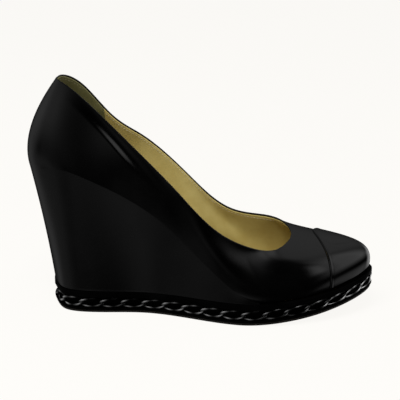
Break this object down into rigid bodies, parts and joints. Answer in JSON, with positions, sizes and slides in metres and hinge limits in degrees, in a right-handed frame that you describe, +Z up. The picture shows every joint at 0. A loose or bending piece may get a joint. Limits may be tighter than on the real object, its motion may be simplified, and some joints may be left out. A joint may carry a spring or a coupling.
{
  "type": "wedge heel pump",
  "caption": "Black leather wedge pump for the right foot with a patent toe cap, a low-cut throat and a platform edged with a dark silver curb chain.",
  "frame": {"origin": "middle of the underside of the shoe's bounding box, on the floor it stands on", "axes": "+X to the toe, +Y to the inner (medial) side, +Z up"},
  "size_m": [0.2354, 0.0844, 0.1545],
  "materials": {
    "sole_rubber": "matt black-brown sole rubber",
    "platform_leather": "smooth black leather cover",
    "chain_metal": "dark silver plated links",
    "wedge_leather": "smooth black leather cover, soft gloss",
    "sock_leather": "gold-beige lining leather",
    "upper_leather": "smooth black leather, soft gloss",
    "cap_patent": "black patent leather, high gloss"
  },
  "bodies": {
    "root": {"outsole": "sole_rubber", "platform": "platform_leather", "edge_chain": "chain_metal", "wedge_heel": "wedge_leather", "insole": "sock_leather", "upper": "upper_leather", "toe_cap": "cap_patent"}
  },
  "joints": []
}
